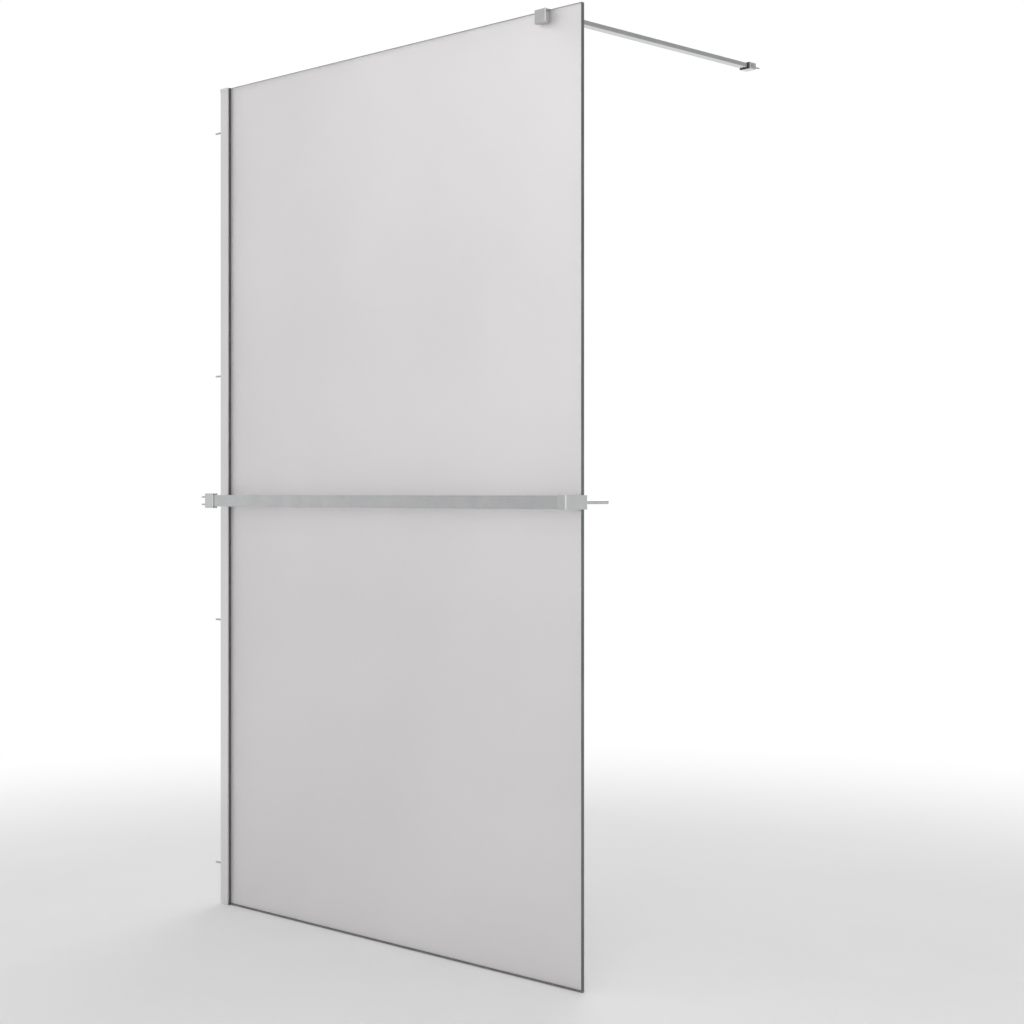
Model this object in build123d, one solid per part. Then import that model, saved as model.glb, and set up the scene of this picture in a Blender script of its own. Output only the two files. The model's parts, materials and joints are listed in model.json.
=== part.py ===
from build123d import *

import os

# Fixed walk-in shower screen: a satin glass panel held in a wall profile, steadied by a bar to the
# side wall, with a towel rail in front and a hook peg behind its free edge.
# Frame: the origin is on the wall, under the middle of the profile, at tray level. +X runs along the
# glass to its free edge, +Y into the shower and +Z up. All sizes are in millimetres.

# Overall sizes
overall_width = 1195.0  # wall face to the glass's free edge, in the middle of the adjustment
overall_height = 2000.0  # tray to the glass's top edge
bar_reach = 690.0  # glass mid-plane to the side wall
rail_level = 990.0  # tray to the middle of the towel rail
rail_offset = 50.0  # glass mid-plane to the middle of the towel rail
clamp_from_edge = 104.0  # free edge to the middle of the bar's glass clamp

# Clearances
body_gap = 0.3  # between faces of pieces that slide past each other
socket_gap = 0.1  # around a piece seated in a socket
thread_gap = 0.05  # around a screw in its tapped hole
shank_gap = 0.3  # around a screw in a plain hole
screw_sink = 0.2  # a headless screw's outer end under the face it is set in
adjust_travel = 5.0  # each way along X, glass profile in the wall channel
adjust_stop = 0.5  # left at the end of that travel
cut_over = 1.0  # how far a cut runs past the face that it opens

# Glass
glass_thickness = 8.0
glass_lift = 4.0  # tray to the glass's bottom edge
glass_arris = 0.5  # ground edge bevel
glass_end_gap = 0.5  # glass to the web behind it

# Wall profile
gasket_thickness = 4.2
pocket_wall = 1.2
channel_wall = 1.2
channel_web = 1.6
shell_wall = 1.3
shell_rear = 9.0  # wall to the shell's rear edge
profile_front = 30.0  # wall to the profile's mouth
lip_thickness = 2.0
pocket_web_rear = 16.0  # wall to the web behind the glass
pocket_web = 1.5
mouth_radius = 1.0
gasket_set_back = 1.0  # glass's hidden edge to the gasket's rear end
gasket_nose = 2.0  # how far the gasket bulges out of the mouth
gasket_nose_inset = 0.4
gasket_nose_radius = 1.6

# Top cap
cap_height = 8.0
cap_rise = 1.0  # cap's top over the glass's top edge
cap_radius = 0.8
prong_length = 13.0
prong_width = 3.0
prong_front = 5.0  # wall to the prongs' front face

# Screws that hold the wall channel
wall_screw_count = 4
wall_screw_margin = 96.5  # end of the channel to its first screw
wall_screw_radius = 2.25
wall_screw_head_radius = 4.2
wall_screw_head_height = 2.6
wall_screw_length = 38.0
screw_point = 5.0
screw_tip_share = 0.15  # radius at the very tip over the screw's radius
neck_step = 0.25  # a wall screw's plain neck is this much thinner than its thread

# Screws that lock the adjustment, on the shower side
lock_screw_count = 3
lock_screw_margin = 150.0
lock_screw_x = 13.5
lock_screw_radius = 1.9
lock_screw_head_radius = 3.2
lock_screw_head_height = 2.2
lock_cap_radius = 4.5
lock_cap_height = 3.6
lock_cap_wall = 1.0

# Drive recesses and domed heads
drive_width = 0.9
drive_share = 1.1  # half length of a cross recess over the screw's radius
drive_depth = 1.2
hex_share = 0.5  # size of a hexagon recess over the screw's radius
hex_depth_share = 0.4  # depth of a hexagon recess over the screw's length
dome_share = 0.45  # rounding of a domed head over its height

# Bottom seal and setting block
seal_start_gap = 1.0  # gasket nose to the seal
seal_foot_radius = 1.2
setting_length = 10.0

# Towel rail and its wall flange
rail_height = 28.0
rail_thickness = 8.0
rail_wall = 1.5
rail_radius = 0.8
rail_seat = 14.0  # how far the rail reaches into its wall flange
flange_length = 30.0
flange_margin = 4.0  # flange's faces outside the rail's faces
flange_radius = 2.0
flange_cavity = 5.0  # depth of the hollow over the base plate
flange_web = 2.0
flange_wall = 1.9  # beside the base plate
flange_end_wall = 2.9  # over and under the base plate
base_thickness = 4.0
base_screw_spacing = 18.0
small_screw_radius = 1.75
small_screw_head_radius = 3.4
small_screw_length = 30.0
grub_radius = 2.0
small_grub_radius = 1.5
rail_grub_inset = 9.0  # flange's mouth to the screw by the rail

# Block on the glass's free edge, at the end of the towel rail
edge_grip = 20.0  # how far the block reaches over the glass
edge_cover = 3.0  # how far it stands past the free edge
edge_rise = 0.75  # block's faces over and under the rail's
edge_slot_gap = 0.4
edge_block_radius = 4.0
edge_block_soft = 0.6
edge_pad = 1.5
edge_pad_margin = 1.0  # block's ends to its pads
edge_plate = 1.5
edge_jaw = 5.0
tongue_length = 14.0
tongue_screw_length = 6.0
edge_grub_radius = 2.5
edge_grub_spread = 18.0

# Hook peg
peg_radius = 4.0
peg_length = 72.0  # block's face to the peg's tip
peg_tip_radius = 1.2
peg_stud_radius = 3.0
peg_from_edge = 8.0  # free edge to the peg's middle
collar_radius = 5.5
collar_length = 5.0
collar_soft = 1.4

# Glass clamp of the steadying bar
clamp_side = 6.0  # clamp's sides outside the bar's
clamp_height = 30.0
clamp_top = 2.5  # clamp's top over the glass's top edge
clamp_radius = 2.5
clamp_jaw_out = 12.5
clamp_jaw_in = 20.0
clamp_pad = 1.2
clamp_plate = 2.0
clamp_pad_margin = 1.5
clamp_screw_radius = 3.0
clamp_screw_spread = 16.0
clamp_screw_rise = 8.0  # clamp's underside to its screws
clamp_seat = 16.0  # how far the bar reaches into the clamp

# Steadying bar
bar_width = 20.0
bar_height = 10.0
bar_wall = 1.5
bar_radius = 0.8
bar_screw_radius = 2.5
bar_screw_length = 6.0
bar_screw_inset = 8.0

# Wall socket of the bar
socket_side = 5.0  # socket's sides outside the bar's
socket_rise = 3.0  # socket's top and underside outside the bar's
socket_depth = 22.0
socket_radius = 2.0
socket_seat = 13.0  # how far the bar reaches into it
socket_pocket = 16.0
socket_cavity = 4.6
socket_wall = 2.9  # around the base plate
socket_screw_inset = 7.0
socket_base_thickness = 4.0
socket_base_spacing = 14.0

# Places worked out from the sizes above
glass_half = glass_thickness / 2
pocket_half = glass_half + gasket_thickness
pocket_outer = pocket_half + pocket_wall
channel_inner = pocket_outer + body_gap
channel_outer = channel_inner + channel_wall
shell_inner = channel_outer + body_gap
shell_outer = shell_inner + shell_wall
lip_rear = profile_front - lip_thickness
channel_depth = lip_rear - adjust_travel - adjust_stop
pocket_rear = prong_front + adjust_travel + adjust_stop
glass_start = pocket_web_rear + pocket_web + glass_end_gap
gasket_rear = glass_start + gasket_set_back
nose_front = profile_front + gasket_nose
cap_slot_rear = glass_start - adjust_travel - adjust_stop
cap_top = overall_height + cap_rise
cap_bottom = cap_top - cap_height
profile_top = cap_bottom - body_gap
wall_screw_spacing = (cap_bottom - 2 * wall_screw_margin) / (wall_screw_count - 1)
wall_screw_levels = [wall_screw_margin + i * wall_screw_spacing for i in range(wall_screw_count)]
lock_screw_spacing = (profile_top - 2 * lock_screw_margin) / (lock_screw_count - 1)
lock_screw_levels = [lock_screw_margin + i * lock_screw_spacing for i in range(lock_screw_count)]

rail_y = -rail_offset
rail_low = rail_level - rail_height / 2
rail_high = rail_level + rail_height / 2
flange_low = rail_low - flange_margin
flange_high = rail_high + flange_margin
flange_half = rail_thickness / 2 + flange_margin
base_half = flange_half - flange_wall - socket_gap
base_low = flange_low + flange_end_wall + socket_gap
base_high = flange_high - flange_end_wall - socket_gap

edge_start = overall_width - edge_grip
edge_end_face = overall_width + edge_cover
edge_low = rail_low - edge_rise
edge_height = rail_height + 2 * edge_rise
edge_out_face = rail_y - rail_thickness / 2
edge_slot_out = -glass_half - edge_pad
edge_slot_in = glass_half + edge_pad + edge_plate
edge_in_face = edge_slot_in + edge_jaw
edge_pad_start = edge_start + edge_slot_gap
edge_screw_x = overall_width - edge_grip / 2
edge_screw_levels = [rail_level - edge_grub_spread / 2, rail_level + edge_grub_spread / 2]
tongue_screw_start = (edge_start - tongue_length / 2, rail_y, rail_low + screw_sink)
peg_x = overall_width - peg_from_edge

clamp_x = overall_width - clamp_from_edge
clamp_half = bar_width / 2 + clamp_side
clamp_roof = overall_height + clamp_top
clamp_floor = clamp_roof - clamp_height
clamp_pad_face = glass_half + body_gap
clamp_slot_out = -clamp_pad_face - clamp_pad
clamp_slot_in = clamp_pad_face + clamp_pad + clamp_plate
clamp_out_face = clamp_slot_out - clamp_jaw_out
clamp_in_face = clamp_slot_in + clamp_jaw_in
clamp_pad_half = clamp_half - clamp_pad_margin
clamp_pad_low = clamp_floor + clamp_pad_margin
clamp_pad_high = overall_height - clamp_pad_margin
clamp_screw_places = [clamp_x - clamp_screw_spread / 2, clamp_x + clamp_screw_spread / 2]

bar_low = overall_height - bar_height
bar_level = overall_height - bar_height / 2
bar_start = clamp_in_face - clamp_seat
bar_screw_y = clamp_in_face - bar_screw_inset
socket_mouth = bar_reach - socket_depth
bar_end = socket_mouth + socket_seat
socket_half = bar_width / 2 + socket_side
socket_low = bar_low - socket_rise
socket_high = overall_height + socket_rise
socket_base_half = socket_half - socket_wall - socket_gap
socket_base_low = socket_low + socket_wall + socket_gap
socket_base_high = socket_high - socket_wall - socket_gap

from_base = (Align.CENTER, Align.CENTER, Align.MIN)


def block(x0, x1, y0, y1, z0, z1):
    """Box between two opposite corners."""
    middle = Pos((x0 + x1) / 2, (y0 + y1) / 2, (z0 + z1) / 2)
    return middle * Box(x1 - x0, y1 - y0, z1 - z0)


def patch(x0, x1, y0, y1):
    """Rectangle between two opposite corners, seen from above."""
    return Pos((x0 + x1) / 2, (y0 + y1) / 2) * Rectangle(x1 - x0, y1 - y0)


def rod(start, direction, radius, length):
    """Round bar from a point along a direction."""
    return Plane(origin=start, z_dir=direction) * Cylinder(radius, length, align=from_base)


def both_sides(shape):
    """A shape and its mirror image across the glass."""
    return shape + mirror(shape, about=Plane.XZ)


def tube_along(plane, width, height, wall, radius, length):
    """Rectangular tube with softened outer edges."""
    outside = RectangleRounded(width, height, radius)
    inside = Rectangle(width - 2 * wall, height - 2 * wall)
    return extrude(plane * (outside - inside), length)


def cross_recess(radius):
    """Cross-shaped drive recess, from z = 0 upwards."""
    reach = 2 * drive_share * radius
    cross = Rectangle(reach, drive_width) + Rectangle(drive_width, reach)
    return extrude(cross, drive_depth)


def pointed_shank(radius, neck, length):
    """Shank of a wall screw along Z: a thinner plain neck, the threaded length and the point."""
    shank = Cylinder(radius - neck_step, neck, align=from_base)
    shank += Pos(0, 0, neck) * Cylinder(radius, length - neck - screw_point, align=from_base)
    tip = Cone(radius, radius * screw_tip_share, screw_point, align=from_base)
    return shank + Pos(0, 0, length - screw_point) * tip


def pan_screw(seat, direction, shank, radius, head_radius, head_height):
    """Screw with a low domed head, whose underside sits at the seat; the shank runs along the direction."""
    top = Pos(0, 0, -head_height)
    head = top * Cylinder(head_radius, head_height, align=from_base)
    rim = head.edges().filter_by(GeomType.CIRCLE).sort_by(Axis.Z)[0]
    head = fillet(rim, dome_share * head_height)
    return Plane(origin=seat, z_dir=direction) * (head + shank - top * cross_recess(radius))


def sunk_screw(seat, direction, plate):
    """Countersunk screw through a plate; the top of its head lies at the seat, on the plate's outer face."""
    neck = small_screw_radius - neck_step
    head = Cone(small_screw_head_radius, neck, small_screw_head_radius - neck, align=from_base)
    shank = pointed_shank(small_screw_radius, plate, small_screw_length)
    screw = head + shank - cross_recess(small_screw_radius)
    return Plane(origin=seat, z_dir=direction) * screw


def sunk_hole(seat, direction, plate):
    """Hole for that screw through the plate."""
    wide = small_screw_head_radius + shank_gap
    narrow = small_screw_radius + shank_gap
    mouth = Cone(wide, narrow, wide - narrow, align=from_base)
    bore = Cylinder(narrow, plate + cut_over, align=from_base)
    return Plane(origin=seat, z_dir=direction) * (mouth + bore)


def grub_screw(start, direction, radius, length):
    """Headless screw with a hexagon recess in its outer end, which is the start."""
    body = Cylinder(radius, length, align=from_base)
    recess = extrude(RegularPolygon(radius * hex_share, 6), length * hex_depth_share)
    return Plane(origin=start, z_dir=direction) * (body - recess)


def wall_channel():
    """U channel screwed to the wall, with slots in its shower-side leg for the lock screws."""
    section = patch(0, channel_web, -channel_outer, channel_outer)
    section += both_sides(patch(0, channel_depth, channel_inner, channel_outer))
    channel = extrude(section, cap_bottom)
    for level in wall_screw_levels:
        start = (-cut_over, 0, level)
        channel -= rod(start, (1, 0, 0), wall_screw_radius + shank_gap, channel_web + 2 * cut_over)
    half_slot = lock_screw_radius + shank_gap
    reach = adjust_travel + half_slot
    for level in lock_screw_levels:
        channel -= block(
            lock_screw_x - reach,
            lock_screw_x + reach,
            channel_inner - cut_over,
            channel_outer + cut_over,
            level - half_slot,
            level + half_slot,
        )
    return channel


def wall_channel_screws():
    """Screws through the channel's web into the wall."""
    screws = Part()
    for level in wall_screw_levels:
        screws += pan_screw(
            (channel_web, 0, level),
            (-1, 0, 0),
            pointed_shank(wall_screw_radius, channel_web, wall_screw_length),
            wall_screw_radius,
            wall_screw_head_radius,
            wall_screw_head_height,
        )
    return screws


def glass_profile():
    """Extrusion that slides over the channel's legs and holds the glass in a lined pocket."""
    half = patch(shell_rear, profile_front, shell_inner, shell_outer)
    half += patch(lip_rear, profile_front, pocket_half, shell_outer)
    half += patch(pocket_rear, profile_front, pocket_half, pocket_outer)
    section = both_sides(half)
    section += patch(pocket_web_rear, pocket_web_rear + pocket_web, -pocket_outer, pocket_outer)
    profile = extrude(section, profile_top)
    corners = profile.edges().filter_by(Axis.Z).group_by(Axis.X)[-1].sort_by(Axis.Y)
    profile = fillet([corners[0], corners[-1]], mouth_radius)
    for level in lock_screw_levels:
        shell_side = (lock_screw_x, shell_inner - body_gap, level)
        profile -= rod(
            shell_side, (0, 1, 0), lock_screw_radius + shank_gap, body_gap + shell_wall + cut_over
        )
        pocket_side = (lock_screw_x, pocket_half - cut_over, level)
        profile -= rod(
            pocket_side, (0, 1, 0), lock_screw_radius + thread_gap, cut_over + pocket_wall + body_gap
        )
    return profile


def profile_lock_screws():
    """Screws that clamp the channel's leg between the profile's walls."""
    length = shell_outer - pocket_half - thread_gap
    screws = Part()
    for level in lock_screw_levels:
        screws += pan_screw(
            (lock_screw_x, shell_outer, level),
            (0, -1, 0),
            Cylinder(lock_screw_radius, length, align=from_base),
            lock_screw_radius,
            lock_screw_head_radius,
            lock_screw_head_height,
        )
    return screws


def lock_screw_caps():
    """Snap caps over the lock screws' heads."""
    caps = Part()
    for level in lock_screw_levels:
        foot = (lock_screw_x, shell_outer, level)
        dome = rod(foot, (0, 1, 0), lock_cap_radius, lock_cap_height)
        rim = dome.edges().filter_by(GeomType.CIRCLE).sort_by(Axis.Y)[-1]
        dome = fillet(rim, lock_cap_wall)
        caps += dome - rod(foot, (0, 1, 0), lock_cap_radius - lock_cap_wall, lock_cap_height - lock_cap_wall)
    return caps


def outer_gasket():
    """Gasket strip between the pocket and the glass, on the outside of the shower."""
    strip = patch(gasket_rear, profile_front, -pocket_half, -glass_half)
    strip += patch(gasket_rear, nose_front, -pocket_half + gasket_nose_inset, -glass_half)
    gasket = extrude(strip, overall_height)
    corner = gasket.edges().filter_by(Axis.Z).group_by(Axis.X)[-1].sort_by(Axis.Y)[0]
    return fillet(corner, gasket_nose_radius)


def inner_gasket():
    """The same strip on the shower side."""
    return mirror(outer_gasket(), about=Plane.XZ)


def profile_top_cap():
    """Cap over the profile's end, slotted for the glass, with prongs that sit in the channel."""
    plate = block(0, profile_front, -shell_outer, shell_outer, cap_bottom, cap_top)
    upright = plate.edges().filter_by(Axis.Z).group_by(Axis.X)[-1]
    plate = fillet(upright, mouth_radius)
    plate = fillet(plate.faces().sort_by(Axis.Z)[-1].edges().group_by(Axis.X)[1:], cap_radius)
    slot_half = pocket_half + body_gap
    plate -= block(
        cap_slot_rear,
        profile_front + cut_over,
        -slot_half,
        slot_half,
        cap_bottom - cut_over,
        cap_top + cut_over,
    )
    prong = block(
        channel_web + socket_gap,
        prong_front,
        channel_inner - socket_gap - prong_width,
        channel_inner - socket_gap,
        cap_bottom - prong_length,
        cap_bottom,
    )
    return plate + both_sides(prong)


def glass_panel():
    """The glass, with its edges ground to a small bevel."""
    panel = block(glass_start, overall_width, -glass_half, glass_half, glass_lift, overall_height)
    long_edges = panel.edges().filter_by(Axis.X) + panel.edges().filter_by(Axis.Z)
    return chamfer(long_edges, glass_arris)


def glass_setting_block():
    """Packer under the glass, inside the profile."""
    half = glass_half - socket_gap
    return block(gasket_rear, gasket_rear + setting_length, -half, half, 0, glass_lift)


def bottom_seal():
    """Seal strip between the glass and the tray."""
    strip = block(nose_front + seal_start_gap, overall_width, -glass_half, glass_half, 0, glass_lift)
    foot = strip.edges().filter_by(Axis.X).group_by(Axis.Z)[0]
    return fillet(foot, seal_foot_radius)


def rail_screw_seats():
    """Seats of the screws in the towel rail's base plate."""
    return [(base_thickness, rail_y, rail_level + side * base_screw_spacing / 2) for side in (-1, 1)]


def rail_wall_base():
    """Plate screwed to the wall under the towel rail's flange."""
    plate = block(0, base_thickness, rail_y - base_half, rail_y + base_half, base_low, base_high)
    for seat in rail_screw_seats():
        plate -= sunk_hole(seat, (-1, 0, 0), base_thickness)
    return plate


def rail_base_screws():
    """Countersunk screws through that plate into the wall."""
    screws = Part()
    for seat in rail_screw_seats():
        screws += sunk_screw(seat, (-1, 0, 0), base_thickness)
    return screws


def flange_screw_runs():
    """Start, radius and length of the flange's headless screws: one on the plate, one by the rail."""
    return [
        ((base_thickness / 2, rail_y, flange_low), small_grub_radius, base_low - flange_low),
        (
            (flange_length - rail_grub_inset, rail_y, flange_low),
            grub_radius,
            rail_low - body_gap - flange_low,
        ),
    ]


def rail_wall_flange():
    """Block that covers the plate and takes the towel rail's end."""
    body = block(0, flange_length, rail_y - flange_half, rail_y + flange_half, flange_low, flange_high)
    sharp = body.faces().sort_by(Axis.X)[0].edges()
    body = fillet([e for e in body.edges() if e not in sharp], flange_radius)
    body -= block(
        -cut_over,
        flange_cavity,
        rail_y - base_half - socket_gap,
        rail_y + base_half + socket_gap,
        base_low - socket_gap,
        base_high + socket_gap,
    )
    body -= block(
        flange_cavity + flange_web,
        flange_length + cut_over,
        rail_y - rail_thickness / 2 - body_gap,
        rail_y + rail_thickness / 2 + body_gap,
        rail_low - body_gap,
        rail_high + body_gap,
    )
    for start, radius, length in flange_screw_runs():
        body -= rod(start, (0, 0, 1), radius + thread_gap, length + cut_over)
    return body


def rail_flange_screws():
    """Headless screws in the underside of the flange."""
    screws = Part()
    for start, radius, length in flange_screw_runs():
        screws += grub_screw(start, (0, 0, 1), radius, length)
    return screws


def towel_rail():
    """Flat tube between the wall flange and the block on the glass."""
    start = flange_length - rail_seat
    ends = Plane(origin=(start, rail_y, rail_level), x_dir=(0, 1, 0), z_dir=(1, 0, 0))
    rail = tube_along(ends, rail_thickness, rail_height, rail_wall, rail_radius, edge_start - start)
    hole_start = (edge_start - tongue_length / 2, rail_y, rail_low - cut_over)
    return rail - rod(hole_start, (0, 0, 1), small_grub_radius + shank_gap, rail_wall + 2 * cut_over)


def edge_block():
    """Block clamped on the glass's free edge, with a tongue that fits inside the rail."""
    outline = patch(edge_start, edge_end_face, edge_out_face, edge_in_face)
    outline = fillet(outline.vertices().group_by(Axis.X)[-1], edge_block_radius)
    body = extrude(Pos(0, 0, edge_low) * outline, edge_height)
    rims = body.faces().sort_by(Axis.Z)[0].edges() + body.faces().sort_by(Axis.Z)[-1].edges()
    by_rail = rims.filter_by(Axis.Y).group_by(Axis.X)[0]
    body = fillet([e for e in rims if e not in by_rail], edge_block_soft)
    body -= block(
        edge_start - cut_over,
        overall_width + edge_slot_gap,
        edge_slot_out,
        edge_slot_in,
        edge_low - cut_over,
        edge_low + edge_height + cut_over,
    )
    half_width = rail_thickness / 2 - rail_wall - socket_gap
    body += block(
        edge_start - tongue_length,
        edge_start,
        rail_y - half_width,
        rail_y + half_width,
        rail_low + rail_wall + socket_gap,
        rail_high - rail_wall - socket_gap,
    )
    tongue_bore = small_grub_radius + thread_gap
    body -= rod(tongue_screw_start, (0, 0, 1), tongue_bore, tongue_screw_length + cut_over)
    through_jaw = edge_jaw + 2 * cut_over
    for level in edge_screw_levels:
        start = (edge_screw_x, edge_slot_in - cut_over, level)
        body -= rod(start, (0, 1, 0), edge_grub_radius + thread_gap, through_jaw)
    stud_start = (peg_x, edge_slot_in - cut_over, rail_level)
    return body - rod(stud_start, (0, 1, 0), peg_stud_radius + thread_gap, through_jaw)


def rail_tongue_screw():
    """Headless screw through the rail's underside into the tongue."""
    return grub_screw(tongue_screw_start, (0, 0, 1), small_grub_radius, tongue_screw_length)


def edge_liner(y0, y1):
    """Flat liner inside the block, between two distances from the glass's mid-plane."""
    low = edge_low + edge_pad_margin
    high = edge_low + edge_height - edge_pad_margin
    return block(edge_pad_start, overall_width, y0, y1, low, high)


def edge_pads():
    """Soft pads on both faces of the glass, inside the block."""
    return both_sides(edge_liner(glass_half, glass_half + edge_pad))


def edge_pressure_plate():
    """Thin steel plate between the inner pad and the screws."""
    return edge_liner(glass_half + edge_pad, edge_slot_in)


def edge_clamp_screws():
    """Headless screws that press the plate on the glass."""
    screws = Part()
    for level in edge_screw_levels:
        screws += grub_screw((edge_screw_x, edge_in_face, level), (0, -1, 0), edge_grub_radius, edge_jaw)
    return screws


def peg_collar():
    """Round collar at the foot of the hook peg."""
    collar = rod((peg_x, edge_in_face, rail_level), (0, 1, 0), collar_radius, collar_length)
    rim = collar.edges().filter_by(GeomType.CIRCLE).sort_by(Axis.Y)[-1]
    collar = fillet(rim, collar_soft)
    bore_start = (peg_x, edge_in_face - cut_over, rail_level)
    return collar - rod(bore_start, (0, 1, 0), peg_stud_radius + socket_gap, collar_length + 2 * cut_over)


def hook_peg():
    """Straight peg for a towel or robe, screwed through its collar into the block."""
    foot = (peg_x, edge_in_face + collar_length, rail_level)
    peg = rod(foot, (0, 1, 0), peg_radius, peg_length - collar_length)
    rim = peg.edges().filter_by(GeomType.CIRCLE).sort_by(Axis.Y)[-1]
    peg = fillet(rim, peg_tip_radius)
    return peg + rod((peg_x, edge_slot_in, rail_level), (0, 1, 0), peg_stud_radius, edge_jaw + collar_length)


def clamp_body():
    """Saddle over the glass's top edge, with a socket for the steadying bar in its inner jaw."""
    x0 = clamp_x - clamp_half
    x1 = clamp_x + clamp_half
    body = block(x0, x1, clamp_out_face, clamp_in_face, clamp_floor, clamp_roof)
    body = fillet(body.edges(), clamp_radius)
    body -= block(
        x0 - cut_over,
        x1 + cut_over,
        clamp_slot_out,
        clamp_slot_in,
        clamp_floor - cut_over,
        overall_height + body_gap,
    )
    body -= block(
        clamp_x - bar_width / 2 - socket_gap,
        clamp_x + bar_width / 2 + socket_gap,
        bar_start,
        clamp_in_face + cut_over,
        bar_low - socket_gap,
        overall_height + socket_gap,
    )
    for x in clamp_screw_places:
        start = (x, clamp_slot_in - cut_over, clamp_floor + clamp_screw_rise)
        body -= rod(start, (0, 1, 0), clamp_screw_radius + thread_gap, clamp_jaw_in + 2 * cut_over)
    shaft_start = (clamp_x, bar_screw_y, clamp_floor - cut_over)
    shaft_length = bar_low - clamp_floor + cut_over
    return body - rod(shaft_start, (0, 0, 1), bar_screw_radius + thread_gap, shaft_length)


def clamp_liner(y0, y1):
    """Flat liner inside the clamp, between two distances from the glass's mid-plane."""
    return block(
        clamp_x - clamp_pad_half, clamp_x + clamp_pad_half, y0, y1, clamp_pad_low, clamp_pad_high
    )


def clamp_pads():
    """Soft pads between the clamp and both faces of the glass."""
    return both_sides(clamp_liner(clamp_pad_face, clamp_pad_face + clamp_pad))


def clamp_pressure_plate():
    """Steel plate between the inner pad and the clamp's screws."""
    return clamp_liner(clamp_pad_face + clamp_pad, clamp_slot_in)


def clamp_screws():
    """Headless screws that press the plate on the glass."""
    screws = Part()
    for x in clamp_screw_places:
        start = (x, clamp_in_face, clamp_floor + clamp_screw_rise)
        screws += grub_screw(start, (0, -1, 0), clamp_screw_radius, clamp_jaw_in)
    return screws


def stabiliser_bar():
    """Flat tube from the glass clamp to the side wall."""
    ends = Plane(origin=(clamp_x, bar_start, bar_level), x_dir=(1, 0, 0), z_dir=(0, 1, 0))
    return tube_along(ends, bar_width, bar_height, bar_wall, bar_radius, bar_end - bar_start)


def bar_clamp_screw():
    """Headless screw that holds the bar in the clamp."""
    start = (clamp_x, bar_screw_y, bar_low - bar_screw_length)
    return grub_screw(start, (0, 0, 1), bar_screw_radius, bar_screw_length)


def socket_screw_runs():
    """Start, direction, radius and length of the socket's headless screws: by the bar and on its plate."""
    by_bar = (clamp_x + socket_half, socket_mouth + socket_screw_inset, bar_level)
    on_plate = (clamp_x, bar_reach - socket_base_thickness / 2, socket_low)
    return [
        (by_bar, (-1, 0, 0), grub_radius, socket_side - body_gap),
        (on_plate, (0, 0, 1), small_grub_radius, socket_base_low - socket_low),
    ]


def bar_wall_socket():
    """Block on the side wall that takes the bar's end."""
    body = block(
        clamp_x - socket_half, clamp_x + socket_half, socket_mouth, bar_reach, socket_low, socket_high
    )
    sharp = body.faces().sort_by(Axis.Y)[-1].edges()
    body = fillet([e for e in body.edges() if e not in sharp], socket_radius)
    body -= block(
        clamp_x - bar_width / 2 - body_gap,
        clamp_x + bar_width / 2 + body_gap,
        socket_mouth - cut_over,
        socket_mouth + socket_pocket,
        bar_low - body_gap,
        overall_height + body_gap,
    )
    body -= block(
        clamp_x - socket_base_half - socket_gap,
        clamp_x + socket_base_half + socket_gap,
        bar_reach - socket_cavity,
        bar_reach + cut_over,
        socket_base_low - socket_gap,
        socket_base_high + socket_gap,
    )
    for start, direction, radius, length in socket_screw_runs():
        body -= rod(start, direction, radius + thread_gap, length + cut_over)
    return body


def bar_socket_screws():
    """Headless screws in the side and the underside of the wall socket."""
    screws = Part()
    for start, direction, radius, length in socket_screw_runs():
        screws += grub_screw(start, direction, radius, length)
    return screws


def bar_screw_seats():
    """Seats of the screws in the wall socket's base plate."""
    face = bar_reach - socket_base_thickness
    return [(clamp_x + side * socket_base_spacing / 2, face, bar_level) for side in (-1, 1)]


def bar_wall_base():
    """Plate screwed to the side wall, inside the wall socket."""
    plate = block(
        clamp_x - socket_base_half,
        clamp_x + socket_base_half,
        bar_reach - socket_base_thickness,
        bar_reach,
        socket_base_low,
        socket_base_high,
    )
    for seat in bar_screw_seats():
        plate -= sunk_hole(seat, (0, 1, 0), socket_base_thickness)
    return plate


def bar_wall_screws():
    """Countersunk screws through that plate into the side wall."""
    screws = Part()
    for seat in bar_screw_seats():
        screws += sunk_screw(seat, (0, 1, 0), socket_base_thickness)
    return screws


sub_parts = [
    wall_channel,
    wall_channel_screws,
    profile_top_cap,
    glass_profile,
    profile_lock_screws,
    lock_screw_caps,
    outer_gasket,
    inner_gasket,
    glass_panel,
    glass_setting_block,
    bottom_seal,
    rail_wall_base,
    rail_base_screws,
    rail_wall_flange,
    rail_flange_screws,
    towel_rail,
    rail_tongue_screw,
    edge_block,
    edge_pads,
    edge_pressure_plate,
    edge_clamp_screws,
    peg_collar,
    hook_peg,
    clamp_body,
    clamp_pads,
    clamp_pressure_plate,
    clamp_screws,
    bar_clamp_screw,
    stabiliser_bar,
    bar_wall_socket,
    bar_socket_screws,
    bar_wall_base,
    bar_wall_screws,
]

os.makedirs("parts", exist_ok=True)
for sub_part in sub_parts:
    export_step(sub_part(), f"parts/{sub_part.__name__}.step")
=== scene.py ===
"""Looks of a walk-in shower screen: finishes, fine pieces, pale floor, soft lamps and camera.

The pane is satin glass held by a slim wall profile. A flat towel rail with a hook peg crosses its
outer face, and a flat bar steadies its top edge. Lengths are in metres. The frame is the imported
model's: +X along the glass from the wall, +Y into the shower, +Z up.
"""

import json
import logging
import math
from collections.abc import Iterable, Sequence
from dataclasses import dataclass
from enum import Enum
from typing import Any, ClassVar

import bmesh
import bpy
from mathutils import Matrix, Vector


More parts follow.
